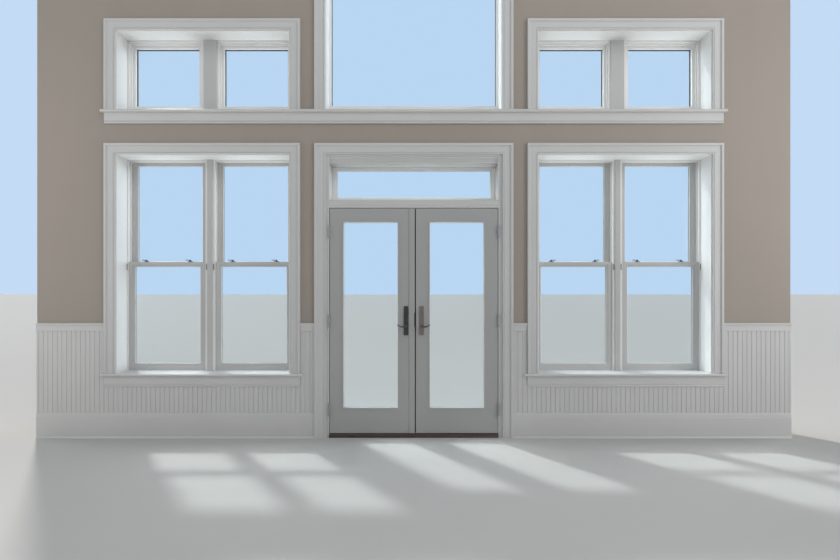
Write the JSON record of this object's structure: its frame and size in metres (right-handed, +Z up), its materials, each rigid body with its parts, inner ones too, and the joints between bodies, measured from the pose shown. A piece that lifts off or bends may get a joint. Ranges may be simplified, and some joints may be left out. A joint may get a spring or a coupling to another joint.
{
  "type": "beach house window wall with french doors",
  "caption": "Gable wall of a beach house great room with French doors, transom, twin double-hung windows, fixed upper windows and beaded wainscot.",
  "frame": {"origin": "middle of the doorway on the floor, in the plane of the inner wall face, on the underside of the threshold", "axes": "+X along the wall to the right as seen from the room, +Y out of the house, +Z up"},
  "size_m": [6.78, 0.398, 5.995],
  "materials": {
    "wall_core": "matte insulated core",
    "greige_paint": "flat wall paint on plaster",
    "siding_paint": "painted lap boards",
    "white_trim": "semi-gloss white paint",
    "door_paint": "satin white paint",
    "brown_wood": "oiled dark wood",
    "clear_glass": "clear insulated glass",
    "lock_metal": "dark cam locks",
    "hinge_metal": "satin grey metal",
    "dark_bronze": "oil-rubbed bronze"
  },
  "bodies": {
    "wall": {"wall_left": "wall_core", "wall_right": "wall_core", "wall_over_door": "wall_core", "interior_plaster": "greige_paint", "exterior_siding": "siding_paint", "door_casing": "white_trim", "door_frame": "white_trim", "door_threshold": "brown_wood", "transom_sash": "white_trim", "transom_glass": "clear_glass", "lower_window_casings": "white_trim", "lower_window_stools": "white_trim", "lower_window_aprons": "white_trim", "left_window_frame": "white_trim", "right_window_frame": "white_trim", "post_covers": "white_trim", "bottom_sashes": "white_trim", "top_sashes": "white_trim", "lower_window_glass": "clear_glass", "sash_locks": "lock_metal", "upper_side_casings": "white_trim", "upper_centre_casing": "white_trim", "upper_left_frame": "white_trim", "upper_right_frame": "white_trim", "upper_centre_frame": "white_trim", "upper_window_glass": "clear_glass", "upper_stool": "white_trim", "upper_apron": "white_trim", "beadboard_left": "white_trim", "beadboard_right": "white_trim", "wainscot_caps": "white_trim", "baseboards": "white_trim", "outer_window_casings": "white_trim", "outer_door_casing": "white_trim", "outer_sills": "white_trim", "corner_boards": "white_trim", "rake_boards": "white_trim", "jamb_hinges": "hinge_metal"},
    "left_door": {"left_leaf": "door_paint", "left_leaf_glass": "clear_glass", "astragal": "door_paint", "left_handle_plates": "dark_bronze", "left_leaf_hinges": "hinge_metal"},
    "right_door": {"right_leaf": "door_paint", "right_leaf_glass": "clear_glass", "right_handle_plates": "dark_bronze", "right_leaf_hinges": "hinge_metal"},
    "left_lever": {"left_lever": "dark_bronze"},
    "right_lever": {"right_lever": "dark_bronze"}
  },
  "joints": [
    {"name": "left_door_swing", "type": "hinge", "parent": "wall", "child": "left_door", "pos_m": [-0.763, -0.009, 1.05], "axis": [0, 0, -1], "range_deg": [0, 110]},
    {"name": "right_door_swing", "type": "hinge", "parent": "wall", "child": "right_door", "pos_m": [0.763, -0.009, 1.05], "axis": [0, 0, 1], "range_deg": [0, 110]},
    {"name": "left_lever_turn", "type": "hinge", "parent": "left_door", "child": "left_lever", "pos_m": [-0.07, 0.027, 1.004], "axis": [0, -1, 0], "range_deg": [0, 45], "stiffness_Nm_per_rad": 2, "springref_deg": -22.92},
    {"name": "right_lever_turn", "type": "hinge", "parent": "right_door", "child": "right_lever", "pos_m": [0.07, 0.027, 1.004], "axis": [0, 1, 0], "range_deg": [0, 45], "stiffness_Nm_per_rad": 2, "springref_deg": -22.92}
  ]
}
